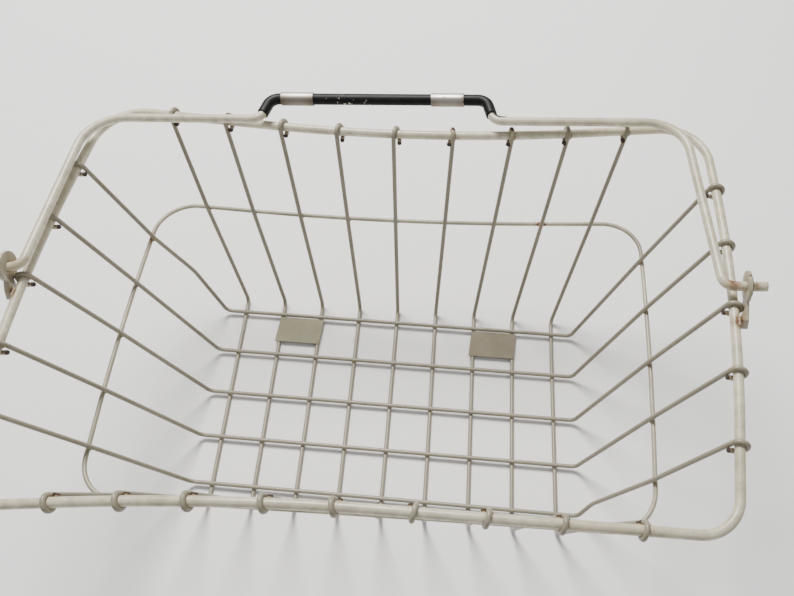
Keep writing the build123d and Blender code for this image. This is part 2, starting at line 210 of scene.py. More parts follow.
def bend_radius(before, corner, after, reach):
    """Radius of an arc that starts and ends the given reach from a corner: reach / tan(turn / 2)."""
    cosine = unit(corner - before) @ unit(after - corner)
    return reach / np.tan(np.arccos(cosine) / 2)


def rounded_line(corners, radii, step, closed=False):
    """A line through corner points, each corner rounded by an arc of its radius.

    An arc starts r * tan(turn / 2) before its corner. Its point at angle p is
    start + r * sin(p) * forward + r * (1 - cos(p)) * inward, with 8 stations or more to a radian.
    Straight runs get even stations.
    """
    corners = np.array(corners)
    count = len(corners)
    bent = range(count) if closed else range(1, count - 1)
    spans = []
    for k, radius in zip(bent, radii):
        forward = unit(corners[k] - corners[k - 1])
        onward = unit(corners[(k + 1) % count] - corners[k])
        cosine = forward @ onward
        turn = np.arccos(np.clip(cosine, -1, 1))
        inward = unit(onward - forward * cosine)
        start = corners[k] - forward * radius * np.tan(turn / 2)
        pieces = max(3, int(np.ceil(turn * max(radius / step, 8))))
        angle = np.linspace(0, turn, pieces + 1)[:, None]
        spans.append(start + radius * (np.sin(angle) * forward + (1 - np.cos(angle)) * inward))
    if closed:
        spans.append(spans[0][:1])
    else:
        spans = [corners[:1], *spans, corners[-1:]]
    line = [spans[0]]
    for before, after in zip(spans[:-1], spans[1:]):
        gap = np.linalg.norm(after[0] - before[-1])
        pieces = max(1, int(np.ceil(gap / step)))
        share = np.linspace(0, 1, pieces + 1)[1:-1, None]
        line += [mix(before[-1], after[0], share), after]
    line = np.concatenate(line)
    moved = np.linalg.norm(np.diff(line, axis=0), axis=1) > SAME_PLACE
    line = line[np.r_[True, moved]]
    return line[:-1] if closed else line


def crossing(ring, axis, value, outward):
    """Where a ring passes the plane at this value of an axis, and its direction there."""
    onward = np.roll(ring, -1, axis=0)
    here, there = ring @ axis - value, onward @ axis - value
    found = np.flatnonzero((here * there <= 0) & (ring @ outward > 0))[0]
    share = here[found] / (here[found] - there[found])
    return mix(ring[found], onward[found], share), unit(onward[found] - ring[found])


# ---- Surfaces ----

def new_object(name, data):
    """A new object in the scene, at the origin."""
    made = bpy.data.objects.new(name, data)
    bpy.context.scene.collection.objects.link(made)
    return made


def new_mesh(name, points, faces, smooth=True):
    """An object made of these points and faces."""
    mesh = bpy.data.meshes.new(name)
    mesh.from_pydata(points.tolist(), [], faces)
    if smooth:
        mesh.shade_smooth()
    return new_object(name, mesh)


def grid_faces(rows, columns, closed_rows=False):
    """Quads of a grid whose columns wrap round, and whose rows do too if it is a ring."""
    top = np.arange(rows if closed_rows else rows - 1)[:, None]
    side = np.arange(columns)[None, :]
    below, beside = (top + 1) % rows, (side + 1) % columns
    quads = np.stack([top * columns + side, top * columns + beside,
                      below * columns + beside, below * columns + side], axis=-1)
    return quads.reshape(-1, 4).tolist()


def fan_faces(centre, first, columns, outward_first):
    """Triangles that close a round end on its middle point."""
    side = np.arange(columns)
    beside = (side + 1) % columns
    middle = np.full(columns, centre)
    rim = [first + beside, first + side] if outward_first else [first + side, first + beside]
    return np.stack([middle, *rim], axis=-1).tolist()


def section_frames(line, reference, closed):
    """A line's directions at each station: forward, across = forward x reference, and over."""
    if closed:
        forward = unit(np.roll(line, -1, axis=0) - np.roll(line, 1, axis=0))
    else:
        forward = unit(np.gradient(line, axis=0))
    across = unit(np.cross(forward, reference))
    return forward, across, np.cross(across, forward)


def quarter_round(radius):
    """A rounded edge's inset along, radius * (1 - sin(p)), and drop inward, radius * (1 - cos(p))."""
    turn = np.radians([0, 30, 60, 90])
    return radius * (1 - np.sin(turn)), radius * (1 - np.cos(turn))


def repeated_ends(rows, count):
    """The same rows, with the first and the last each given this many times."""
    return np.concatenate([rows[:1].repeat(count, 0), rows[1:-1], rows[-1:].repeat(count, 0)])


def bar(name, line, radius, sides, reference, closed=False, bevel=0.0, swell=None):
    """A round bar: point = line(s) + r * cos(a) * across(s) + r * sin(a) * over(s).

    The radius may swell by swell(s, a). An open bar's ends run in over the bevel, as a quarter
    round, to a flat cut closed on its middle point.
    """
    forward, across, over = section_frames(line, reference, closed)
    size = np.full(len(line), radius)
    if not closed:
        inset, drop = quarter_round(bevel)
        head = line[0] + forward[0] * inset[::-1, None]
        tail = line[-1] - forward[-1] * inset[:, None]
        line = np.concatenate([head, line[1:-1], tail])
        across = repeated_ends(across, len(inset))
        over = repeated_ends(over, len(inset))
        size = np.concatenate([radius - drop[::-1], size[1:-1], radius - drop])
    angle = np.linspace(0, 2 * np.pi, sides, endpoint=False)
    spread = size[:, None] * np.ones(sides)
    if swell is not None:
        spread = spread + swell(line, angle)
    ring = np.cos(angle)[:, None] * across[:, None] + np.sin(angle)[:, None] * over[:, None]
    points = (line[:, None] + spread[..., None] * ring).reshape(-1, 3)
    faces = grid_faces(len(line), sides, closed)
    if not closed:
        count = len(points)
        faces += fan_faces(count, 0, sides, True)
        faces += fan_faces(count + 1, count - sides, sides, False)
        points = np.concatenate([points, line[:1], line[-1:]])
    return new_mesh(name, points, faces)


def tube(name, line, outside, inside, sides, reference, lip):
    """A sleeve: point = line(s) + shift * forward(s) + r * (cos(a) * across(s) + sin(a) * over(s)).

    The stations s go out along the outside, with rounded lips, and back along the bore.
    """
    forward, across, over = section_frames(line, reference, False)
    inset, drop = quarter_round(lip)
    end_rows = 1 + len(inset)
    last = len(line) - 1
    rows = np.concatenate([
        np.full(end_rows, 0), np.arange(1, last), np.full(end_rows, last), np.arange(last - 1, 0, -1)])
    shift = np.concatenate([[0], inset[::-1], np.zeros(last - 1), -inset, [0], np.zeros(last - 1)])
    size = np.concatenate([[inside], outside - drop[::-1], np.full(last - 1, outside),
                           outside - drop, [inside], np.full(last - 1, inside)])
    angle = np.linspace(0, 2 * np.pi, sides, endpoint=False)
    ring = (np.cos(angle)[:, None] * across[rows][:, None]
            + np.sin(angle)[:, None] * over[rows][:, None])
    centre = line[rows] + forward[rows] * shift[:, None]
    points = (centre[:, None] + size[:, None, None] * ring).reshape(-1, 3)
    return new_mesh(name, points, grid_faces(len(rows), sides, True))


def beads(name, places, long_axes, wide_axes, sizes):
    """Weld beads: point = place + a*cos(v)*cos(u)*long + b*cos(v)*sin(u)*wide + c*sin(v)*deep."""
    columns, rows = 12, 7
    u = np.linspace(0, 2 * np.pi, columns, endpoint=False)
    v = np.linspace(-np.pi / 2, np.pi / 2, rows + 2)[1:-1]
    deep_axes = unit(np.cross(long_axes, wide_axes))
    wide_axes = np.cross(deep_axes, long_axes)
    shape = np.stack([np.cos(v)[:, None] * np.cos(u), np.cos(v)[:, None] * np.sin(u),
                      np.sin(v)[:, None] * np.ones(columns)], axis=-1).reshape(-1, 3)
    shape = np.concatenate([shape, [[0, 0, -1], [0, 0, 1]]])
    frames = np.stack([long_axes, wide_axes, deep_axes], axis=1) * sizes[:, :, None]
    points = (places[:, None] + np.einsum("pk,nkx->npx", shape, frames)).reshape(-1, 3)
    one = grid_faces(rows, columns)
    last = rows * columns
    one += fan_faces(last, 0, columns, True) + fan_faces(last + 1, last - columns, columns, False)
    faces = [[corner + k * len(shape) for corner in face] for k in range(len(places)) for face in one]
    return new_mesh(name, points, faces)


def vertex_rows(mesh, kind):
    """The place or the normal of each vertex, one row each."""
    values = np.empty(len(mesh.vertices) * 3)
    mesh.vertices.foreach_get(kind, values)
    return values.reshape(-1, 3)


def store_values(mesh, name, values):
    """Keeps one value for each vertex under this name, for the paint to read."""
    attribute = mesh.attributes.new(name, "FLOAT", "POINT")
    attribute.data.foreach_set("value", values.astype(np.float32))


def mark_wear(piece, places, strength, reach):
    """Stores how worn each point is, and how much painted shade with settled grime it gets.

    Wear is the most of strength * exp(-(distance / reach) ** 2). Painted shade, with a little
    settled grime, darkens the undersides and the front, as 0.5 - 0.5 * normal . shade axis.
    """
    store_values(piece.data, "painted_shade_and_soil", 0.5 - 0.5 * vertex_rows(piece.data, "normal") @ PAINTED_SHADE_AXIS)
    points = vertex_rows(piece.data, "co")
    gap = np.linalg.norm(points[:, None] - np.array(places)[None], axis=-1)
    worn = (np.array(strength) * np.exp(-(gap / np.array(reach)) ** 2)).max(axis=1)
    store_values(piece.data, "wear", worn)


# ---- Rings ----

def rail_place(x, y, rise=0.0):
    """A place in the rail's sloping plane, or the rise above it."""
    return np.array([x, y, RAIL_HEIGHT + RAIL_SLOPE * y + rise])


def floor_place(along, across, z):
    """A place on the floor grid, whose two sets of wires are a little off square."""
    x = FLOOR_SHIFT + along * np.cos(FLOOR_SKEW) - across * np.sin(FLOOR_SKEW)
    y = across * np.cos(FLOOR_SKEW) - along * np.sin(FLOOR_SKEW)
    return np.array([x, y, z])


def ring_line(corners, middles, corner_radii):
    """Four rounded corners, with a long gentle bend in each side."""
    points = [p for pair in zip(corners, middles) for p in pair]
    radii = []
    for k, point in enumerate(points):
        before, after = points[k - 1], points[(k + 1) % len(points)]
        shorter = min(np.linalg.norm(point - before), np.linalg.norm(after - point))
        gentle = bend_radius(before, point, after, SIDE_BEND_SHARE * shorter)
        radii.append(corner_radii[k // 2] if k % 2 == 0 else gentle)
    return rounded_line(points, radii, RING_STEP, closed=True)


corner_signs = [(1, 1), (-1, 1), (-1, -1), (1, -1)]
rises = [0, END_RISE, FRONT_RISE, END_RISE]
rail_corners = [rail_place(*place) for place in RAIL_CORNERS]
rail_bends = [rail_place(*place, rise) for place, rise in zip(RAIL_BENDS, rises)]
hoop_rim_corners = [rail_place(a * HOOP_RIM_LENGTH, b * HOOP_RIM_WIDTH) for a, b in corner_signs]
hoop_rim_middles = [
    rail_place(0, HOOP_RIM_WIDTH - HOOP_RIM_BOW),
    rail_place(-HOOP_RIM_LENGTH - HOOP_RIM_BULGE, 0, END_RISE),
    rail_place(0, -HOOP_RIM_WIDTH, FRONT_RISE),
    rail_place(HOOP_RIM_LENGTH + HOOP_RIM_BULGE, 0, END_RISE),
]
side_signs = [(0, 1), (-1, 0), (0, -1), (1, 0)]
floor_corners = [floor_place(a * FLOOR_HALF_LENGTH, b * FLOOR_HALF_WIDTH, 2 * WIRE_R)
                 for a, b in corner_signs]
floor_middles = [floor_place(a * FLOOR_HALF_LENGTH, b * FLOOR_HALF_WIDTH, 2 * WIRE_R)
                 for a, b in side_signs]
rail_line = ring_line(
    rail_corners, rail_bends, [REAR_CORNER_R, REAR_CORNER_R, FRONT_CORNER_R, FRONT_CORNER_R])
hoop_line = ring_line(
    [mix(a, b, HOOP_LEVEL) for a, b in zip(floor_corners, hoop_rim_corners)],
    [mix(a, b, HOOP_LEVEL) for a, b in zip(floor_middles, hoop_rim_middles)],
    [HOOP_CORNER_R] * 4)


# ---- Wall wires ----

def wall_run(foot, rail_value, hoop_value, axis, outward, lead):
    """A wall wire from its floor bend to its cut end: corners, bend radii and two weld places.

    The wire rises inside the hoop and the rail, wraps over the rail and back under it as a
    rounded square, and moves along the rail by the lead as it wraps.
    """
    rail_centre, along = crossing(rail_line, axis, rail_value, outward)
    along = along * np.sign(along @ lead)
    hoop_centre, hoop_along = crossing(hoop_line, axis, hoop_value, outward)
    normal = unit(np.cross(hoop_along, rail_centre - foot))
    normal = normal * np.sign(normal @ outward)
    at_hoop = hoop_centre - normal * (2 * WIRE_R - WELD)
    rise = rail_centre - at_hoop
    rise = rise - along * (rise @ along)
    up = unit(rise)
    out = unit(np.cross(along, up))
    out = out * np.sign(out @ outward)
    tilt = np.arcsin(WRAP_R / np.linalg.norm(rise))
    up, out = up * np.cos(tilt) - out * np.sin(tilt), out * np.cos(tilt) + up * np.sin(tilt)
    step = along * WRAP_LEAD / 3
    corners = [
        foot,
        at_hoop,
        rail_centre + (up - out) * WRAP_R,
        rail_centre + (up + out) * WRAP_R + step,
        rail_centre + (out - up) * WRAP_R + step * 2,
        rail_centre - out * (WRAP_R + STUB) - up * WRAP_R + step * 3,
    ]
    return {
        "corners": corners,
        "radii": [FLOOR_BEND_R, KINK_R, WRAP_BEND_R, WRAP_BEND_R, WRAP_BEND_R],
        "hoop": (mix(hoop_centre, at_hoop, 0.5), hoop_along, unit(rail_centre - foot)),
        "rail": (rail_centre - out * RAIL_R, along, up),
        "top": rail_centre + up * (WRAP_R + WIRE_R),
    }


def wire_line(runs):
    """One wire's whole line, from the cut end of its first run to the cut end of its second."""
    corners = runs[0]["corners"][::-1] + runs[1]["corners"]
    radii = runs[0]["radii"][::-1] + runs[1]["radii"]
    return rounded_line(corners, radii, WIRE_STEP)


def cross_wire_runs(number):
    """Front and rear wall runs of a wire that runs front to back, counted from the left."""
    place = number - (CROSS_WIRES + 1) / 2
    lead = X_AXIS if place < 1 else -X_AXIS
    runs = []
    for side, shifts in ((-1, FRONT_END_SHIFTS), (1, REAR_END_SHIFTS)):
        foot = floor_place(place * CROSS_PITCH, side * FLOOR_HALF_WIDTH, WIRE_R)
        at_rail = place * CROSS_PITCH_TOP + shifts[number - 1]
        at_hoop = mix(foot[0], at_rail, HOOP_LEVEL)
        runs.append(wall_run(foot, at_rail, at_hoop, X_AXIS, side * Y_AXIS, lead))
    return runs


def long_wire_runs(number):
    """Left and right wall runs of a wire on top of the cross wires, counted from the rear."""
    place = (LONG_WIRES + 1) / 2 - number
    runs = []
    ends = (-1, LEFT_END_SHIFTS, LEFT_DENT), (1, RIGHT_END_SHIFTS, RIGHT_DENT)
    for side, shifts, dent in ends:
        foot = floor_place(side * FLOOR_HALF_LENGTH, place * LONG_PITCH, 3 * WIRE_R - WELD)
        at_rail = place * LONG_PITCH_TOP + shifts[number - 1]
        at_hoop = mix(foot[1], at_rail, HOOP_LEVEL)
        run = wall_run(foot, at_rail, at_hoop, Y_AXIS, side * X_AXIS, -Y_AXIS)
        if number == dent[0]:
            corners = run["corners"]
            corners.insert(1, mix(corners[0], corners[1], dent[1]) + Y_AXIS * dent[2])
            run["radii"].insert(1, DENT_R)
        runs.append(run)
    return runs


def floor_welds():
    """Every place where a long wire crosses a cross wire."""
    along = (np.arange(CROSS_WIRES) - (CROSS_WIRES - 1) / 2) * CROSS_PITCH
    across = (np.arange(LONG_WIRES) - (LONG_WIRES - 1) / 2) * LONG_PITCH
    return np.array([floor_place(a, b, 2 * WIRE_R - WELD / 2) for a in along for b in across])


# ---- Bail ----

def bail_place(along, away):
    """A place in the bail's plane, with its end play, its sideways lean and its skew."""
    share = away / BAIL_REACH
    skew = BAIL_RUN_SKEW * along * share
    return HINGE_MIDDLE + HINGE * (along + BAIL_SLIDE + BAIL_LEAN * share) + AWAY * (away + skew)


def bail_lines():
    """The bail's whole line, and the stretch of it that the grip covers."""
    reach = BAIL_REACH + HAND_HOLD_RISE
    corners = [
        bail_place(-PIN_END_X, 0),
        bail_place(-BAIL_ARM_ROOT, 0),
        bail_place(-BAIL_ARM_TIP, BAIL_REACH),
        bail_place(HAND_HOLD_OFFSET - HAND_HOLD_FOOT, BAIL_REACH),
        bail_place(HAND_HOLD_OFFSET - HAND_HOLD_TOP, reach),
        bail_place(HAND_HOLD_OFFSET + HAND_HOLD_TOP, reach),
        bail_place(HAND_HOLD_OFFSET + HAND_HOLD_FOOT, BAIL_REACH),
        bail_place(BAIL_ARM_TIP, BAIL_REACH),
        bail_place(BAIL_ARM_ROOT, 0),
        bail_place(PIN_END_X, 0),
    ]
    ends = [BAIL_BEND_R, BAIL_CORNER_R]
    line = rounded_line(corners, ends + [HAND_HOLD_R] * 4 + ends[::-1], BAIL_STEP)
    travel = np.r_[0, np.cumsum(np.linalg.norm(np.diff(line, axis=0), axis=1))]
    middle = bail_place(HAND_HOLD_OFFSET, reach)
    centre = travel[np.argmin(np.linalg.norm(line - middle, axis=1))]
    covered = np.abs(travel - centre) < GRIP_LENGTH / 2
    return line, line[covered]


def ear_swell(line, angle):
    """Two small ears at each end: full reach at the washer, tapering to nothing along the rod.

    Round the rod an ear swells as exp(-(cos(a) * rod radius / half thickness) ** 4).
    """
    place = np.abs((line - HINGE_MIDDLE) @ HINGE - BAIL_SLIDE)
    past = place - EAR_X
    taper = np.clip(1 - past / EAR_LENGTH, 0, 1) * np.clip(past / EAR_RISE + 1, 0, 1)
    flat = np.abs(np.cos(angle)) * BAIL_R / EAR_HALF_T
    return (EAR_REACH - BAIL_R) * taper[:, None] * np.exp(-flat ** 4)[None, :]


# ---- Materials ----

def new_material(name):
    """A new material, its node tree and its shader."""
    material = bpy.data.materials.new(name)
    material.use_nodes = True
    return material, material.node_tree, material.node_tree.nodes["Principled BSDF"]


def link(tree, source, target):
    """Joins an output to an input."""
    tree.links.new(source, target)


def node(tree, kind, **settings):
    """A new node with these settings."""
    made = tree.nodes.new(kind)
    for key, value in settings.items():
        setattr(made, key, value)
    return made


def speckle(tree, where, scale, detail, roughness=0.55):
    """Noise on a place, from 0 to 1."""
    made = node(tree, "ShaderNodeTexNoise")
    made.inputs["Scale"].default_value = scale
    made.inputs["Detail"].default_value = detail
    made.inputs["Roughness"].default_value = roughness
    link(tree, where, made.inputs["Vector"])
    return made.outputs["Fac"]


def ramp(tree, value, low, high):
    """0 below low, 1 above high, and a smooth step between."""
    made = node(tree, "ShaderNodeMapRange", interpolation_type="SMOOTHSTEP")
    made.inputs["From Min"].default_value = low
    made.inputs["From Max"].default_value = high
    link(tree, value, made.inputs["Value"])
    return made.outputs["Result"]


def combine(tree, operation, a, b):
    """Two values, or a value and a number, put together by one operation."""
    made = node(tree, "ShaderNodeMath", operation=operation)
    for socket, value in zip(made.inputs, (a, b)):
        if isinstance(value, (int, float)):
            socket.default_value = value
        else:
            link(tree, value, socket)
    return made.outputs[0]


def layer(tree, share, under, over):
    """One colour over another, where the share says."""
    made = node(tree, "ShaderNodeMix", data_type="RGBA")
    link(tree, share, made.inputs["Factor"])
    for socket, value in ((made.inputs[6], under), (made.inputs[7], over)):
        if isinstance(value, tuple):
            socket.default_value = (*value, 1)
        else:
            link(tree, value, socket)
    return made.outputs[2]


def blend_value(tree, share, under, over):
    """One number over another, where the share says."""
    made = node(tree, "ShaderNodeMix", data_type="FLOAT")
    link(tree, share, made.inputs[0])
    for socket, value in ((made.inputs[2], under), (made.inputs[3], over)):
        if isinstance(value, (int, float)):
            socket.default_value = value
        else:
            link(tree, value, socket)
    return made.outputs[0]


def add_bump(tree, shader, height, distance, strength):
    """Raises a surface by a height from 0 to 1, over this distance."""
    made = node(tree, "ShaderNodeBump")
    made.inputs["Strength"].default_value = strength
    made.inputs["Distance"].default_value = distance
    link(tree, height, made.inputs["Height"])
    link(tree, made.outputs["Normal"], shader.inputs["Normal"])


# Paint colours
CREAM = (0.80, 0.74, 0.56)
CREAM_YELLOWED = (0.68, 0.60, 0.42)
CREAM_ON_HOOP = (0.52, 0.47, 0.34)
CREAM_ON_LUGS = (0.48, 0.43, 0.31)
# The next two are the rail's cream darkened as painted shade for the thin wires; the hoop also takes the
# first for its darker mottle.
CREAM_DULLED_AND_SHADED = (0.25, 0.225, 0.165)
WIRE_CREAM_IN_PAINTED_SHADE = (0.20, 0.175, 0.12)
CREAM_GREYED = (0.23, 0.205, 0.15)
CREAM_STAINED = (0.27, 0.245, 0.155)
LEFT_PLATE_STAIN = (0.20, 0.19, 0.11)
RIGHT_PLATE_BROWN = (0.19, 0.16, 0.105)
RIGHT_PLATE_STAIN = (0.16, 0.135, 0.085)
# Colour of the painted shade, with a little settled grime, on undersides and fronts
SHADE_AND_GRIME_TONE = (0.26, 0.235, 0.165)
GRIME = (0.085, 0.065, 0.04)
RUST = (0.12, 0.055, 0.025)
RUST_STAIN = (0.30, 0.21, 0.11)
BARE_STEEL = (0.030, 0.022, 0.018)

# Colours of the other finishes
VINYL = (0.003, 0.003, 0.003)
VINYL_SCUFFED = (0.008, 0.0075, 0.007)
FLECK_CREAM = (0.62, 0.60, 0.55)
ALUMINIUM = (0.47, 0.45, 0.41)
# Brown of the ferrules' blotches and worn ends, and of their painted dark reflection
ALUMINIUM_BROWN_AND_REFLECTION = (0.16, 0.12, 0.09)
WASHER_STEEL = (0.16, 0.15, 0.14)
WASHER_RUST = (0.17, 0.075, 0.03)
STUDIO_GREY = (0.78, 0.77, 0.765)
STUDIO_GREY_PALE = (0.82, 0.81, 0.80)

# How fine each mottling is, in noise cells to a metre
BROAD_MOTTLE = 22
PAINT_PATCHES = 130
FINE_DIRT = 900
CHIP_GRAIN = 420
VINYL_PATCHES = 160
VINYL_GRAIN = 1400
FLECK_GRAIN = 330
DRAWN_LINES = 1500
DRAWN_STRETCH = (0.06, 1, 1)
FERRULE_PATCHES = 210
RUST_BLOTCHES = 420
STUDIO_MOTTLE = 3

# How deep each finish's relief is
PAINT_RELIEF = 0.12 * mm
VINYL_RELIEF = 0.05 * mm
DRAWN_RELIEF = 0.01 * mm
RUST_RELIEF = 0.1 * mm

# Where patterns lie: the grip's flecks by X, and the ferrules' bright top and their front, where the
# painted dark reflection begins
FLECKS_START = -60 * mm
FLECKS_START_FADE = 2 * mm
FLECKS_END = -35 * mm
FLECKS_END_FADE = 20 * mm
FERRULE_TOP_Z = (195.5 * mm, 202.5 * mm)
FERRULE_FRONT_Y = (164.0 * mm, 157.5 * mm)


def old_paint(name, colour, yellowed, greyed, dirt, chipped=0.725, rough=0.34):
    """Old cream enamel: mottled, yellowed, soiled, with painted shade below and in front; chipped to dark
    steel, rusty where worn.

    Greyed and dirt are the most that grey patches and dirt cover. Enamel is chipped off where fine
    noise is over chipped. Rough is the roughness of sound enamel.
    """
    material, tree, shader = new_material(name)
    where = node(tree, "ShaderNodeTexCoord").outputs["Object"]
    wear = node(tree, "ShaderNodeAttribute", attribute_name="wear").outputs["Fac"]
    painted_shade_and_soil = node(tree, "ShaderNodeAttribute", attribute_name="painted_shade_and_soil").outputs["Fac"]
    broad = speckle(tree, where, BROAD_MOTTLE, 3)
    patches = speckle(tree, where, PAINT_PATCHES, 5)
    fine = speckle(tree, where, FINE_DIRT, 3)
    chip_noise = speckle(tree, where, CHIP_GRAIN, 4, 0.6)

    # Age and dirt, and painted shade with a little settled grime below and in front
    tone = layer(tree, ramp(tree, broad, 0.35, 0.7), colour, yellowed)
    dull = combine(tree, "MULTIPLY", ramp(tree, patches, 0.35, 0.72), greyed)
    tone = layer(tree, dull, tone, CREAM_GREYED)
    # Painted shade: the undersides and fronts darkened, with a little settled grime
    shaded = combine(tree, "MULTIPLY", ramp(tree, painted_shade_and_soil, 0.25, 0.75), 0.5)
    tone = layer(tree, shaded, tone, SHADE_AND_GRIME_TONE)
    soiled = combine(tree, "MULTIPLY", ramp(tree, fine, 0.45, 0.75), dirt)
    tone = layer(tree, soiled, tone, GRIME)

    # Stain, then rust, then bare steel as wear grows, and chips anywhere
    uneven = combine(tree, "MULTIPLY", combine(tree, "SUBTRACT", patches, 0.5), 0.9)
    worn = combine(tree, "ADD", wear, uneven)
    browned = combine(tree, "MULTIPLY", ramp(tree, worn, 0.15, 0.6), 0.85)
    rusty = ramp(tree, worn, 0.5, 0.72)
    bare = ramp(tree, worn, 0.86, 0.98)
    chips = combine(tree, "MULTIPLY", ramp(tree, chip_noise, chipped - 0.01, chipped + 0.01),
                    ramp(tree, broad, 0.42, 0.55))
    off = combine(tree, "MAXIMUM", chips, bare)
    tone = layer(tree, browned, tone, RUST_STAIN)
    tone = layer(tree, rusty, tone, RUST)
    tone = layer(tree, off, tone, BARE_STEEL)
    link(tree, tone, shader.inputs["Base Color"])

    roughness = blend_value(tree, combine(tree, "MAXIMUM", rusty, soiled), rough, 0.8)
    link(tree, roughness, shader.inputs["Roughness"])
    height = combine(tree, "SUBTRACT", combine(tree, "MULTIPLY", patches, 0.5), off)
    height = combine(tree, "ADD", height, combine(tree, "MULTIPLY", fine, rusty))
    add_bump(tree, shader, height, PAINT_RELIEF, 0.6)
    return material


def black_vinyl():
    """Black vinyl tube: dull, faintly mottled, with stray flecks of paint near its left ferrule."""
    material, tree, shader = new_material("black_vinyl")
    where = node(tree, "ShaderNodeTexCoord").outputs["Object"]
    patches = speckle(tree, where, VINYL_PATCHES, 4)
    fine = speckle(tree, where, VINYL_GRAIN, 2)
    flecks = speckle(tree, where, FLECK_GRAIN, 3, 0.6)
    place = node(tree, "ShaderNodeSeparateXYZ")
    link(tree, where, place.inputs[0])
    begun = ramp(tree, place.outputs["X"], FLECKS_START, FLECKS_START + FLECKS_START_FADE)
    ended = ramp(tree, place.outputs["X"], FLECKS_END, FLECKS_END + FLECKS_END_FADE)
    painted = combine(tree, "SUBTRACT", begun, ended)
    flecks = combine(tree, "MULTIPLY", ramp(tree, flecks, 0.63, 0.65), painted)
    tone = layer(tree, ramp(tree, patches, 0.4, 0.75), VINYL, VINYL_SCUFFED)
    tone = layer(tree, flecks, tone, FLECK_CREAM)
    link(tree, tone, shader.inputs["Base Color"])
    link(tree, blend_value(tree, patches, 0.4, 0.6), shader.inputs["Roughness"])
    shader.inputs["Specular IOR Level"].default_value = 0.2
    add_bump(tree, shader, combine(tree, "ADD", fine, flecks), VINYL_RELIEF, 0.5)
    return material


def satin_aluminium():
    """Satin drawn aluminium, bright on top, with a painted dark reflection in brown underneath and in
    front, and brown blotches and worn ends.
    """
    material, tree, shader = new_material("satin_aluminium")
    where = node(tree, "ShaderNodeTexCoord").outputs["Object"]
    stretch = node(tree, "ShaderNodeMapping")
    stretch.inputs["Scale"].default_value = DRAWN_STRETCH
    link(tree, where, stretch.inputs["Vector"])
    lines = speckle(tree, stretch.outputs["Vector"], DRAWN_LINES, 2)
    patches = speckle(tree, where, FERRULE_PATCHES, 4)
    wear = node(tree, "ShaderNodeAttribute", attribute_name="wear").outputs["Fac"]
    place = node(tree, "ShaderNodeSeparateXYZ")
    link(tree, where, place.inputs[0])
    # Painted reflection: below the bright top and towards the front, the ferrules are painted dark brown
    above = ramp(tree, place.outputs["Z"], *FERRULE_TOP_Z)
    front = ramp(tree, place.outputs["Y"], *FERRULE_FRONT_Y)
    under = combine(tree, "MULTIPLY", combine(tree, "SUBTRACT", 1.0, above), 0.55)
    browned = combine(tree, "MAXIMUM", under, combine(tree, "MULTIPLY", front, 0.6))
    blotches = combine(tree, "MULTIPLY", ramp(tree, patches, 0.6, 0.75), 0.6)
    stain_and_painted_reflection = combine(tree, "ADD", browned, blotches)
    stain_and_painted_reflection = combine(tree, "MINIMUM", combine(tree, "ADD", stain_and_painted_reflection, wear), 1.0)
    tone = layer(tree, stain_and_painted_reflection, ALUMINIUM, ALUMINIUM_BROWN_AND_REFLECTION)
    link(tree, tone, shader.inputs["Base Color"])
    shader.inputs["Metallic"].default_value = 1.0
    rough = blend_value(tree, stain_and_painted_reflection, 0.36, 0.6)
    link(tree, combine(tree, "ADD", rough, combine(tree, "MULTIPLY", lines, 0.06)),
         shader.inputs["Roughness"])
    add_bump(tree, shader, lines, DRAWN_RELIEF, 0.3)
    return material


def dark_steel():
    """Old washer steel: dark, blotched with rust."""
    material, tree, shader = new_material("dark_steel")
    where = node(tree, "ShaderNodeTexCoord").outputs["Object"]
    patches = speckle(tree, where, RUST_BLOTCHES, 5)
    rusty = ramp(tree, patches, 0.45, 0.62)
    tone = layer(tree, rusty, WASHER_STEEL, WASHER_RUST)
    link(tree, tone, shader.inputs["Base Color"])
    shader.inputs["Roughness"].default_value = 0.8
    link(tree, combine(tree, "SUBTRACT", 0.8, rusty), shader.inputs["Metallic"])
    add_bump(tree, shader, patches, RUST_RELIEF, 0.6)
    return material


def floor_finish():
    """Plain pale studio floor with the faintest mottling."""
    material, tree, shader = new_material("studio_floor")
    where = node(tree, "ShaderNodeTexCoord").outputs["Object"]
    tone = layer(tree, speckle(tree, where, STUDIO_MOTTLE, 2), STUDIO_GREY, STUDIO_GREY_PALE)
    link(tree, tone, shader.inputs["Base Color"])
    shader.inputs["Roughness"].default_value = 0.9
    return material


# ---- Pieces ----

def finish_piece(piece, body, slot, material, *nodes):
    """Gives a piece its body and material, and hides the CAD nodes that it stands for. The slot is not
    used.
    """
    piece.data.materials.append(material)
    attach(piece, body)
    if nodes:
        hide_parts(*nodes)


def wire_wear(name, runs, crossings):
    """A wire's worn places, each with its strength and reach, and its worn or rusty spots."""
    marks, worn_tops, rusty_welds = [], [], []
    for run in runs:
        marks.append((run["hoop"][0], chance.uniform(*WELD_WEAR), HOOP_WELD_REACH))
        marks.append((run["rail"][0], chance.uniform(*WELD_WEAR), RAIL_WELD_REACH))
        marks.append((run["corners"][-1], *CUT_END_WEAR))
    if name in WORN_REAR_HOOKS:
        worn_tops.append(runs[1]["top"])
        marks.append((runs[1]["top"], *HOOK_TOP_WEAR))
    if name in RUSTY_HOOP_WELDS:
        rusty = runs[RUSTY_HOOP_WELDS[name]]["hoop"][0]
        rusty_welds.append(rusty)
        marks.append((rusty, *RUSTY_WELD_WEAR))
    marks += [(p, chance.uniform(*CROSSING_WEAR), CROSSING_REACH) for p in crossings]
    return marks, worn_tops, rusty_welds


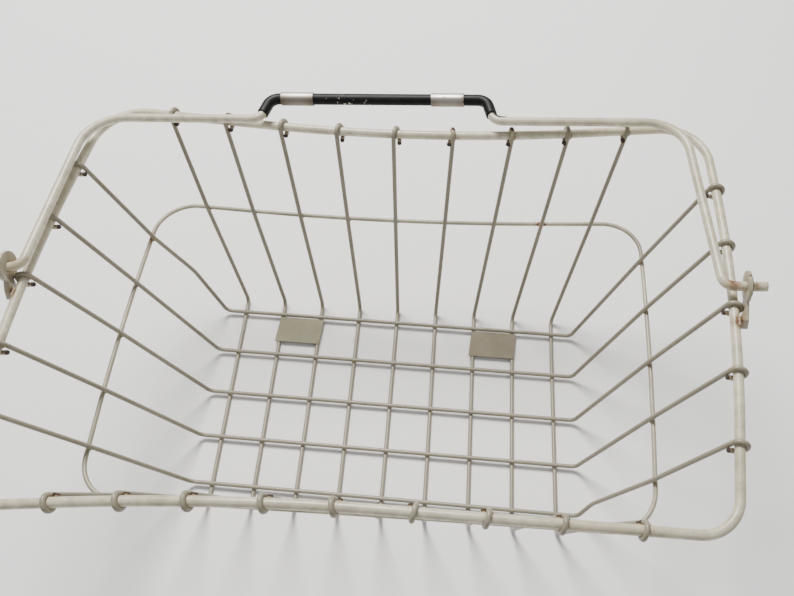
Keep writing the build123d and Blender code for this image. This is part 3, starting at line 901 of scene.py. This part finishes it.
def weld_group(name, places, long_axes, wide_axes, size):
    """One group of weld beads, each a little different in size."""
    sizes = np.array(size) * chance.uniform(*BEAD_SPREAD, (len(places), 1))
    group = beads(name, np.array(places), unit(np.array(long_axes)), unit(np.array(wide_axes)), sizes)
    mark_wear(group, places, chance.uniform(*BEAD_WEAR, len(places)), BEAD_REACH)
    finish_piece(group, "basket", "cream_paint", wire_paint)


def lug_seam(side):
    """The weld beads that hold a lug to the rail: place, long axis and wide axis of each."""
    seam = []
    for y in LUG_BEAD_PLACES:
        centre, along = crossing(rail_line, Y_AXIS, y, side * X_AXIS)
        spot = centre + side * X_AXIS * LUG_BEAD_OUT + Z_AXIS * LUG_BEAD_UP
        seam.append((spot, along, unit(side * X_AXIS + Z_AXIS)))
    return seam


def ferrule(name, start, end):
    """A sleeve pressed on the grip, between two places along the hand-hold."""
    reach = BAIL_REACH + HAND_HOLD_RISE
    share = np.linspace(0, 1, FERRULE_STATIONS)[:, None]
    left = bail_place(HAND_HOLD_OFFSET + start, reach)
    right = bail_place(HAND_HOLD_OFFSET + end, reach)
    line = mix(left, right, share)
    sleeve = tube(
        f"{name}_sleeve", line, FERRULE_R, GRIP_R - SLEEVE_PRESS, FERRULE_SIDES, Z_AXIS, FERRULE_LIP)
    strength, wear_reach = FERRULE_END_WEAR
    mark_wear(sleeve, [line[0], line[-1]], [strength, strength], wear_reach)
    finish_piece(sleeve, "bail", "ferrule_metal", aluminium, name)


def sliver_swell(line, angle):
    """A round tongue whose radius goes evenly from its first width to its second."""
    return np.linspace(*SLIVER_HALF_WIDTH, len(line))[:, None] * np.ones(len(angle))


def torn_sliver(rod_line, covered):
    """A thin torn tongue of the grip that lies along the top of the rod, past its right end."""
    grip_end = np.flatnonzero(np.linalg.norm(rod_line - covered[-1], axis=1) < SAME_PLACE)[0]
    before, past = SLIVER_STATIONS
    under = rod_line[grip_end - before:grip_end + past]
    outer = np.cross(Z_AXIS, unit(np.gradient(under, axis=0)))
    lift = unit(Z_AXIS + SLIVER_LEAN * outer) * (BAIL_R + SLIVER_CLEARANCE)
    sliver = bar("grip_torn_sliver", under + lift, 0.0, SLIVER_SIDES, Z_AXIS, swell=sliver_swell)
    finish_piece(sliver, "bail", "grip_vinyl", vinyl)


def softened_lug(name, seam, pivot):
    """A pressed lug with its sharp edges rounded, in place of its CAD node."""
    shape = bmesh.new()
    shape.from_mesh(frame["nodes"][name].data)
    bmesh.ops.remove_doubles(shape, verts=shape.verts, dist=LUG_MERGE)
    sharp = [e for e in shape.edges if len(e.link_faces) == 2 and e.calc_face_angle() > LUG_SHARP]
    bmesh.ops.bevel(shape, geom=sharp, offset=LUG_EDGE, segments=3, profile=0.5, affect="EDGES",
                    clamp_overlap=True)
    mesh = bpy.data.meshes.new(f"{name}_pressing")
    shape.to_mesh(mesh)
    shape.free()
    mesh.shade_smooth()
    mesh.set_sharp_from_angle(angle=LUG_SMOOTH)
    lug = new_object(f"{name}_pressing", mesh)
    # Each worn place, its strength and its reach: along the seam, at the pivot and just below it
    marks = [(bead[0], 0.8, 5 * mm) for bead in seam]
    marks += [(pivot, 0.6, 8 * mm), (pivot - Z_AXIS * 8 * mm, 0.5, 7 * mm)]
    mark_wear(lug, *zip(*marks))
    finish_piece(lug, "basket", "lug_paint", lug_paint, name)


rail_paint = old_paint("rail_paint", CREAM, CREAM_YELLOWED, 0.5, 0.2, chipped=0.70)
hoop_paint = old_paint("hoop_paint", CREAM_ON_HOOP, CREAM_DULLED_AND_SHADED, 0.5, 0.25)
# The wires' creams are painted shade, far darker than the rail's; their heavier grey patches and dirt are
# partly painted shade too.
wire_paint = old_paint("wire_paint", CREAM_DULLED_AND_SHADED, WIRE_CREAM_IN_PAINTED_SHADE, 0.6, 0.35)
left_plate_paint = old_paint(
    "left_plate_paint", CREAM_STAINED, LEFT_PLATE_STAIN, 0.5, 0.4, rough=0.75)
right_plate_paint = old_paint(
    "right_plate_paint", RIGHT_PLATE_BROWN, RIGHT_PLATE_STAIN, 0.4, 0.4, rough=0.75)
lug_paint = old_paint("lug_paint", CREAM_ON_LUGS, CREAM_STAINED, 0.6, 0.3, chipped=0.69)
vinyl = black_vinyl()
aluminium = satin_aluminium()
steel = dark_steel()

# Wall and floor wires
crossings = floor_welds()
hoop_welds, rail_welds, worn_tops, rusty_welds = [], [], [], []
for kind, count, runs_of, reference in (
        ("cross_wire", CROSS_WIRES, cross_wire_runs, X_AXIS),
        ("long_wire", LONG_WIRES, long_wire_runs, Y_AXIS)):
    for number in range(1, count + 1):
        runs = runs_of(number)
        name = f"{kind}_{number}"
        wire = bar(f"{name}_bar", wire_line(runs), WIRE_R, WIRE_SIDES, reference, bevel=WIRE_END_BEVEL)
        hoop_welds += [run["hoop"] for run in runs]
        rail_welds += [run["rail"] for run in runs]
        marks, tops, rusty = wire_wear(name, runs, crossings)
        worn_tops += tops
        rusty_welds += rusty
        mark_wear(wire, *zip(*marks))
        finish_piece(wire, "basket", "cream_paint", wire_paint, name)

# Rail, hoop and welds
left_seam, right_seam = lug_seam(-1), lug_seam(1)
lug_welds = left_seam + right_seam

rail = bar("top_rail_bar", rail_line, RAIL_R, RAIL_SIDES, Z_AXIS, closed=True)
places = [weld[0] for weld in rail_welds + lug_welds] + worn_tops
strength = np.r_[chance.uniform(*RAIL_WEAR, len(rail_welds)),
                 np.full(len(lug_welds), LUG_WELD_WEAR),
                 np.full(len(worn_tops), WORN_TOP_WEAR)]
mark_wear(rail, places, strength, RING_REACH)
finish_piece(rail, "basket", "cream_paint", rail_paint, "top_rail")

hoop = bar("hoop_bar", hoop_line, WIRE_R, WIRE_SIDES, Z_AXIS, closed=True)
places = [weld[0] for weld in hoop_welds] + rusty_welds
strength = np.r_[chance.uniform(*WELD_WEAR, len(hoop_welds)),
                 np.full(len(rusty_welds), RUSTY_HOOP_WEAR)]
mark_wear(hoop, places, strength, RING_REACH)
finish_piece(hoop, "basket", "cream_paint", hoop_paint, "hoop")

weld_group("floor_weld_beads", crossings, [X_AXIS] * len(crossings), [Y_AXIS] * len(crossings), FLOOR_BEAD)
weld_group("hoop_weld_beads", *zip(*hoop_welds), HOOP_BEAD)
weld_group("rail_weld_beads", *zip(*rail_welds), RAIL_BEAD)
weld_group("lug_weld_beads", *zip(*lug_welds), LUG_BEAD)

# Bail, grip and ferrules
bail_line, grip_line = bail_lines()
bail = bar("bail_rod_bar", bail_line, BAIL_R, BAIL_SIDES, Z_AXIS, bevel=PIN_END_BEVEL, swell=ear_swell)
# Each worn place, its strength and its reach: the two arm roots, the two ears and the right corner
bail_marks = [
    (bail_place(-BAIL_ARM_ROOT - 4 * mm, 0), 0.5, 9 * mm),
    (bail_place(BAIL_ARM_ROOT + 6 * mm, 0), 0.72, 7 * mm),
    (bail_place(-EAR_X - 2 * mm, 0), 1.5, 4 * mm),
    (bail_place(EAR_X + 2 * mm, 0), 1.2, 3.5 * mm),
    (bail_place(BAIL_ARM_TIP - 6 * mm, BAIL_REACH - 3 * mm), 0.45, 8 * mm),
]
mark_wear(bail, *zip(*bail_marks))
finish_piece(bail, "bail", "cream_paint", rail_paint, "bail_rod")

grip = tube("grip_tube_sleeve", grip_line, GRIP_R, BAIL_R - SLEEVE_PRESS, BAIL_SIDES, Z_AXIS, GRIP_LIP)
finish_piece(grip, "bail", "grip_vinyl", vinyl, "grip_tube")

left_start = FERRULE_LEFT_END - HAND_HOLD_TOP
right_end = HAND_HOLD_TOP - FERRULE_RIGHT_END
ferrule("ferrule_left", left_start, left_start + FERRULE_LENGTH)
ferrule("ferrule_right", right_end - FERRULE_LENGTH, right_end)
torn_sliver(bail_line, grip_line)

# Lugs, and the CAD pieces that stay and only get their finish
softened_lug("pivot_lug_left", left_seam, HINGE_MIDDLE - HINGE * LUG_X)
softened_lug("pivot_lug_right", right_seam, HINGE_MIDDLE + HINGE * LUG_X)

for name, material in (
        ("floor_plate_left", left_plate_paint), ("floor_plate_right", right_plate_paint),
        ("retaining_washer_left", steel), ("retaining_washer_right", steel)):
    shown = frame["nodes"][name]
    shown.data.materials.clear()
    shown.data.materials.append(material)


# ---- Studio ----

FLOOR_HALF = 4.0
KEY_PLACE = (-0.35, 1.0, 1.75)
KEY_SIZE = 0.8
KEY_POWER = 82
KEY_COLOUR = (1.0, 0.985, 0.96)
FILL_PLACE = (1.2, -1.4, 1.5)
FILL_SIZE = 1.6
FILL_POWER = 6
LIGHT_TARGET = (0, 0, 0.1)
SKY_COLOUR = (0.86, 0.88, 0.9, 1)
SKY_STRENGTH = 0.5

CAMERA_PLACE = (0.10366, -0.30897, 0.66244)
CAMERA_RIGHT = np.array([0.99788, 0.06079, -0.02325])
CAMERA_DOWN = np.array([0.03868, -0.84116, -0.53940])
CAMERA_FORWARD = np.array([-0.05235, 0.53735, -0.84173])
SENSOR_WIDTH = 36
LENS = 38.54
SHIFT_X = -0.1053
SHIFT_Y = 0.0017


def soft_light(name, place, size, power, colour=(1, 1, 1)):
    """A round soft light that faces the basket."""
    data = bpy.data.lights.new(name, "AREA")
    data.shape = "DISK"
    data.size = size
    data.energy = power
    data.color = colour
    lamp = new_object(name, data)
    lamp.location = place
    aim = Vector(LIGHT_TARGET) - Vector(place)
    lamp.rotation_euler = aim.to_track_quat("-Z", "Y").to_euler()


floor_corner_places = np.array([[-1, -1, 0], [1, -1, 0], [1, 1, 0], [-1, 1, 0]]) * FLOOR_HALF
floor = new_mesh("studio_floor", floor_corner_places, [[0, 1, 2, 3]], smooth=False)
floor.data.materials.append(floor_finish())

soft_light("key_light", KEY_PLACE, KEY_SIZE, KEY_POWER, KEY_COLOUR)
soft_light("fill_light", FILL_PLACE, FILL_SIZE, FILL_POWER)

world = bpy.data.worlds.new("studio")
bpy.context.scene.world = world
world.use_nodes = True
sky = world.node_tree.nodes["Background"]
sky.inputs["Color"].default_value = SKY_COLOUR
sky.inputs["Strength"].default_value = SKY_STRENGTH

camera_data = bpy.data.cameras.new("camera")
camera_data.sensor_width = SENSOR_WIDTH
camera_data.lens = LENS
camera_data.shift_x = SHIFT_X
camera_data.shift_y = SHIFT_Y
camera = new_object("camera", camera_data)
placed = np.eye(4)
placed[:3] = np.column_stack([CAMERA_RIGHT, -CAMERA_DOWN, -CAMERA_FORWARD, CAMERA_PLACE])
camera.matrix_world = Matrix(placed.tolist())
bpy.context.scene.camera = camera
